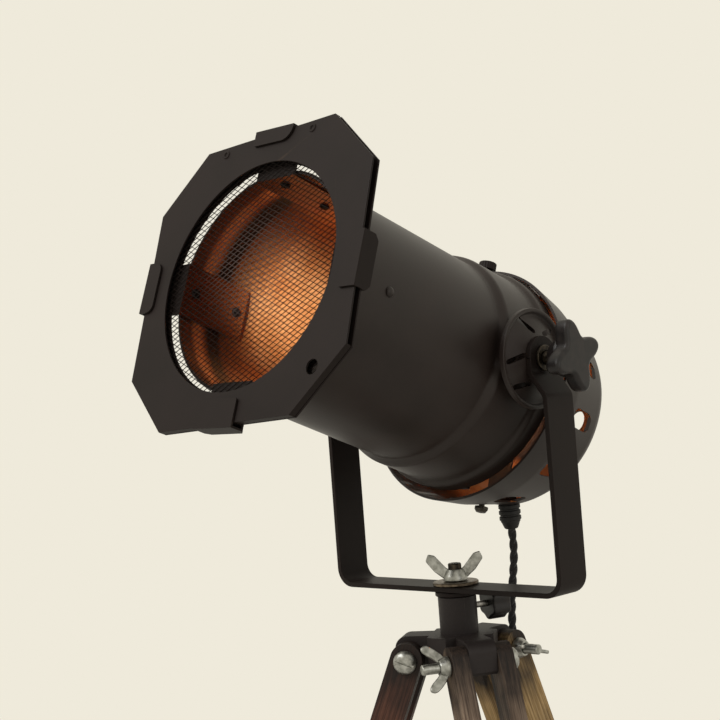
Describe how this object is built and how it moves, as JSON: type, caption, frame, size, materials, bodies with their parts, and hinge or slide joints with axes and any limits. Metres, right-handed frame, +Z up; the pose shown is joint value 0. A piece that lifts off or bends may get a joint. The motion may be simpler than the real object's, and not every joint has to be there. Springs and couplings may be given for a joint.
{
  "type": "theatre lamp",
  "caption": "Theatre spotlight with a vented barrel and square colour frame, tilting in a flat-bar yoke on a folding wooden tripod.",
  "frame": {"origin": "centre of the bounding box on the floor, cable left out", "axes": "+Z up, the lamp faces -Y and is raised about 21 degrees, +X to the lamp's left as it shines, one leg along +Y"},
  "size_m": [0.4812, 0.4536, 0.8833],
  "materials": {
    "black_metal": "worn matt black",
    "copper_paint": "satin copper",
    "cap_metal": "matt black outside, copper inside",
    "knob_plastic": "satin",
    "zinc": "zinc plated, dull",
    "bracket_steel": "plain",
    "worn_brass": "worn",
    "casting": "black enamel, chipped",
    "wood_front": "dark stain, rubbed",
    "wood_rear": "golden, dark stain at the top",
    "wood_left": "reddish stain, rubbed",
    "glass": "clear",
    "porcelain": "glazed",
    "cloth_cord": "twisted cotton braid",
    "rubber": "matt"
  },
  "bodies": {
    "tripod": {"tripod_head": "casting", "cord": "cloth_cord", "cord_coil": "cloth_cord", "cord_tie": "rubber", "plug": "rubber"},
    "clamp": {"clamp_screw": "knob_plastic"},
    "mast": {"spigot": "black_metal", "penny_washer": "worn_brass"},
    "top_nut": {"wing_nut_top": "zinc"},
    "yoke_arm": {"yoke": "black_metal", "pivot_washer_left": "zinc", "pivot_washer_right": "zinc", "cord_yoke": "cloth_cord"},
    "head": {"barrel": "black_metal", "rear_cap": "cap_metal", "cap_bracket_top": "bracket_steel", "cap_bracket_bottom": "bracket_steel", "holder_bracket": "bracket_steel", "lampholder": "porcelain", "bulb": "glass", "gel_frame_front": "black_metal", "gel_frame_back": "black_metal", "safety_mesh": "black_metal", "frame_clip_right": "black_metal", "frame_clip_top": "black_metal", "frame_clip_left": "black_metal", "frame_clip_bottom": "black_metal", "pivot_disc_left": "black_metal", "pivot_disc_right": "black_metal", "pivot_bolt_left": "zinc", "pivot_bolt_right": "zinc", "cable_gland": "rubber", "cord_head": "cloth_cord"},
    "knob_left": {"star_knob_left": "knob_plastic"},
    "knob_right": {"star_knob_right": "knob_plastic"},
    "cap_thumb": {"cap_screw_top": "black_metal"},
    "leg_1": {"upper_slat_1a": "wood_front", "upper_slat_1b": "wood_front", "strap_1": "bracket_steel", "hinge_bolt_1": "zinc", "slide_bolt_1": "zinc"},
    "foot_1": {"lower_slat_1": "wood_front"},
    "hinge_wing_1": {"hinge_nut_1": "zinc"},
    "slide_wing_1": {"slide_nut_1": "zinc"},
    "leg_2": {"upper_slat_2a": "wood_rear", "upper_slat_2b": "wood_rear", "strap_2": "bracket_steel", "hinge_bolt_2": "zinc", "slide_bolt_2": "zinc"},
    "foot_2": {"lower_slat_2": "wood_rear"},
    "hinge_wing_2": {"hinge_nut_2": "zinc"},
    "slide_wing_2": {"slide_nut_2": "zinc"},
    "leg_3": {"upper_slat_3a": "wood_left", "upper_slat_3b": "wood_left", "strap_3": "bracket_steel", "hinge_bolt_3": "zinc", "slide_bolt_3": "zinc"},
    "foot_3": {"lower_slat_3": "wood_left"},
    "hinge_wing_3": {"hinge_nut_3": "zinc"},
    "slide_wing_3": {"slide_nut_3": "zinc"}
  },
  "joints": [
    {"name": "mast_slide", "type": "slide", "parent": "tripod", "child": "mast", "axis": [0, 0, 1], "range_m": [0, 0.02]},
    {"name": "pan", "type": "hinge", "parent": "mast", "child": "yoke_arm", "pos_m": [0, -0.04611, 0.61375], "axis": [0, 0, 1], "range_deg": [-90, 90]},
    {"name": "tilt", "type": "hinge", "parent": "yoke_arm", "child": "head", "pos_m": [0, -0.04611, 0.74755], "axis": [1, 0, 0], "range_deg": [-10, 65]},
    {"name": "top_nut_turn", "type": "hinge", "parent": "mast", "child": "top_nut", "pos_m": [0, -0.04611, 0.61935], "axis": [0, 0, 1], "continuous": true},
    {"name": "knob_left_turn", "type": "hinge", "parent": "head", "child": "knob_left", "pos_m": [0, -0.04611, 0.74755], "axis": [-1, 0, 0], "continuous": true},
    {"name": "knob_right_turn", "type": "hinge", "parent": "head", "child": "knob_right", "pos_m": [0, -0.04611, 0.74755], "axis": [1, 0, 0], "continuous": true},
    {"name": "cap_thumb_turn", "type": "hinge", "parent": "head", "child": "cap_thumb", "pos_m": [0, -0.02045, 0.73626], "axis": [0, 0.3567, 0.9342], "continuous": true},
    {"name": "clamp_turn", "type": "hinge", "parent": "tripod", "child": "clamp", "pos_m": [0, -0.04611, 0.60305], "axis": [0.342, 0.9397, 0], "continuous": true},
    {"name": "leg_1_fold", "type": "hinge", "parent": "tripod", "child": "leg_1", "pos_m": [0.02633, -0.06131, 0.57485], "axis": [0.5, 0.866, 0], "range_deg": [0, 22]},
    {"name": "foot_1_slide", "type": "slide", "parent": "leg_1", "child": "foot_1", "axis": [-0.3244, 0.1873, 0.9272], "range_m": [-0.07, 0.08]},
    {"name": "hinge_wing_1_turn", "type": "hinge", "parent": "leg_1", "child": "hinge_wing_1", "pos_m": [0.01693, -0.07759, 0.57485], "axis": [-0.5, -0.866, 0], "continuous": true},
    {"name": "slide_wing_1_turn", "type": "hinge", "parent": "leg_1", "child": "slide_wing_1", "pos_m": [0.12723, -0.14128, 0.25961], "axis": [-0.5, -0.866, 0], "continuous": true},
    {"name": "leg_2_fold", "type": "hinge", "parent": "tripod", "child": "leg_2", "pos_m": [0, -0.01571, 0.57485], "axis": [-1, 0, 0], "range_deg": [0, 22]},
    {"name": "foot_2_slide", "type": "slide", "parent": "leg_2", "child": "foot_2", "axis": [0, -0.3746, 0.9272], "range_m": [-0.07, 0.08]},
    {"name": "hinge_wing_2_turn", "type": "hinge", "parent": "leg_2", "child": "hinge_wing_2", "pos_m": [0.0188, -0.01571, 0.57485], "axis": [1, 0, 0], "continuous": true},
    {"name": "slide_wing_2_turn", "type": "hinge", "parent": "leg_2", "child": "slide_wing_2", "pos_m": [0.0188, 0.11165, 0.25961], "axis": [1, 0, 0], "continuous": true},
    {"name": "leg_3_fold", "type": "hinge", "parent": "tripod", "child": "leg_3", "pos_m": [-0.02633, -0.06131, 0.57485], "axis": [0.5, -0.866, 0], "range_deg": [0, 22]},
    {"name": "foot_3_slide", "type": "slide", "parent": "leg_3", "child": "foot_3", "axis": [0.3244, 0.1873, 0.9272], "range_m": [-0.07, 0.08]},
    {"name": "hinge_wing_3_turn", "type": "hinge", "parent": "leg_3", "child": "hinge_wing_3", "pos_m": [-0.03573, -0.04503, 0.57485], "axis": [-0.5, 0.866, 0], "continuous": true},
    {"name": "slide_wing_3_turn", "type": "hinge", "parent": "leg_3", "child": "slide_wing_3", "pos_m": [-0.14603, -0.10871, 0.25961], "axis": [-0.5, 0.866, 0], "continuous": true}
  ]
}
